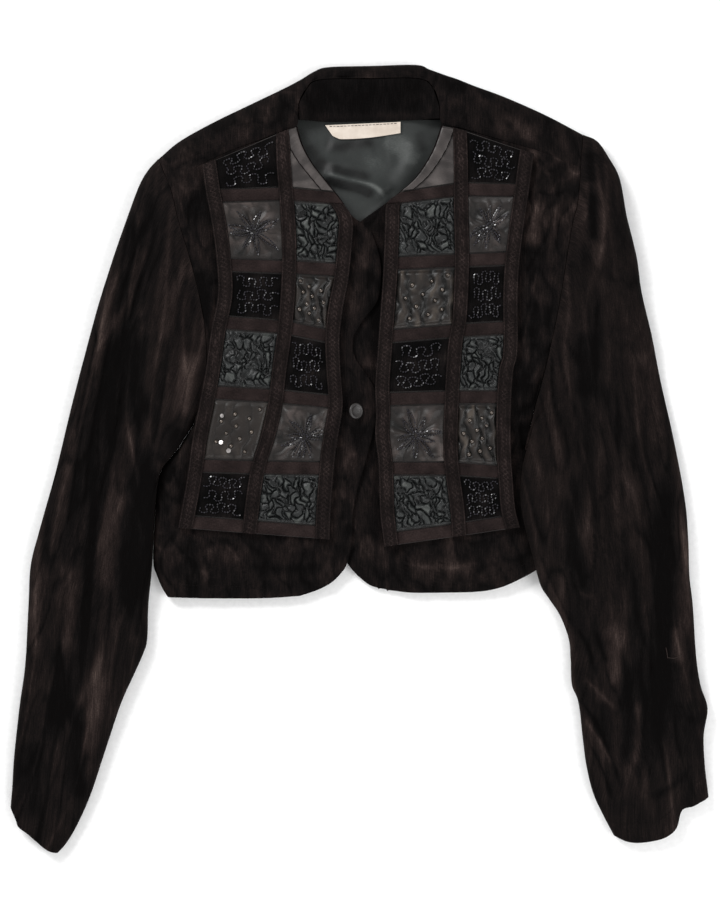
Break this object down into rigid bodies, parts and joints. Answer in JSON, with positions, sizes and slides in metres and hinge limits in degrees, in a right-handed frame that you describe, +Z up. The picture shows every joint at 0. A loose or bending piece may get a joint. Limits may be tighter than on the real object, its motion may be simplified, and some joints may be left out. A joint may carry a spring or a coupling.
{
  "type": "bolero jacket",
  "caption": "Cropped long-sleeved velvet jacket laid flat and buttoned, with a round neck and patchwork panels of beaded velvet, satin and woven braid on its fronts.",
  "frame": {"origin": "bottom centre of the whole laid jacket, on the surface that it lies on", "axes": "+Z up out of the fronts, +Y from the hem to the neck, +X towards the wearer's left sleeve"},
  "size_m": [0.63, 0.711, 0.0276],
  "materials": {
    "velvet": "pile",
    "lining_satin": "satin",
    "plain_satin": "satin",
    "satin": "satin",
    "crinkled_satin": "satin",
    "ruched_satin": "satin",
    "braid": "woven",
    "label_cloth": "woven",
    "button": "satin"
  },
  "bodies": {
    "root": {"back": "velvet", "front_right": "velvet", "front_left": "velvet", "sleeve_right": "velvet", "sleeve_left": "velvet", "neck_facing": "velvet", "back_lining": "lining_satin", "label": "label_cloth", "button": "button", "overlay_right": "plain_satin", "overlay_left": "plain_satin", "patch_right_outer_1": "velvet", "patch_right_outer_2": "satin", "patch_right_outer_3": "velvet", "patch_right_outer_4": "ruched_satin", "patch_right_outer_5": "crinkled_satin", "patch_right_outer_6": "velvet", "patch_right_inner_1": "plain_satin", "patch_right_inner_2": "ruched_satin", "patch_right_inner_3": "crinkled_satin", "patch_right_inner_4": "velvet", "patch_right_inner_5": "satin", "patch_right_inner_6": "ruched_satin", "ribbon_right_1": "braid", "ribbon_right_2": "braid", "ribbon_right_3": "braid", "ribbon_right_4": "braid", "ribbon_right_5": "braid", "ribbon_right_6": "braid", "braid_right_outer": "braid", "braid_right_middle": "braid", "braid_right_inner": "braid", "patch_left_outer_1": "velvet", "patch_left_outer_2": "satin", "patch_left_outer_3": "velvet", "patch_left_outer_4": "ruched_satin", "patch_left_outer_5": "crinkled_satin", "patch_left_outer_6": "velvet", "patch_left_inner_1": "plain_satin", "patch_left_inner_2": "ruched_satin", "patch_left_inner_3": "crinkled_satin", "patch_left_inner_4": "velvet", "patch_left_inner_5": "satin", "patch_left_inner_6": "ruched_satin", "ribbon_left_1": "braid", "ribbon_left_2": "braid", "ribbon_left_3": "braid", "ribbon_left_4": "braid", "ribbon_left_5": "braid", "ribbon_left_6": "braid", "braid_left_outer": "braid", "braid_left_middle": "braid", "braid_left_inner": "braid"}
  },
  "joints": []
}
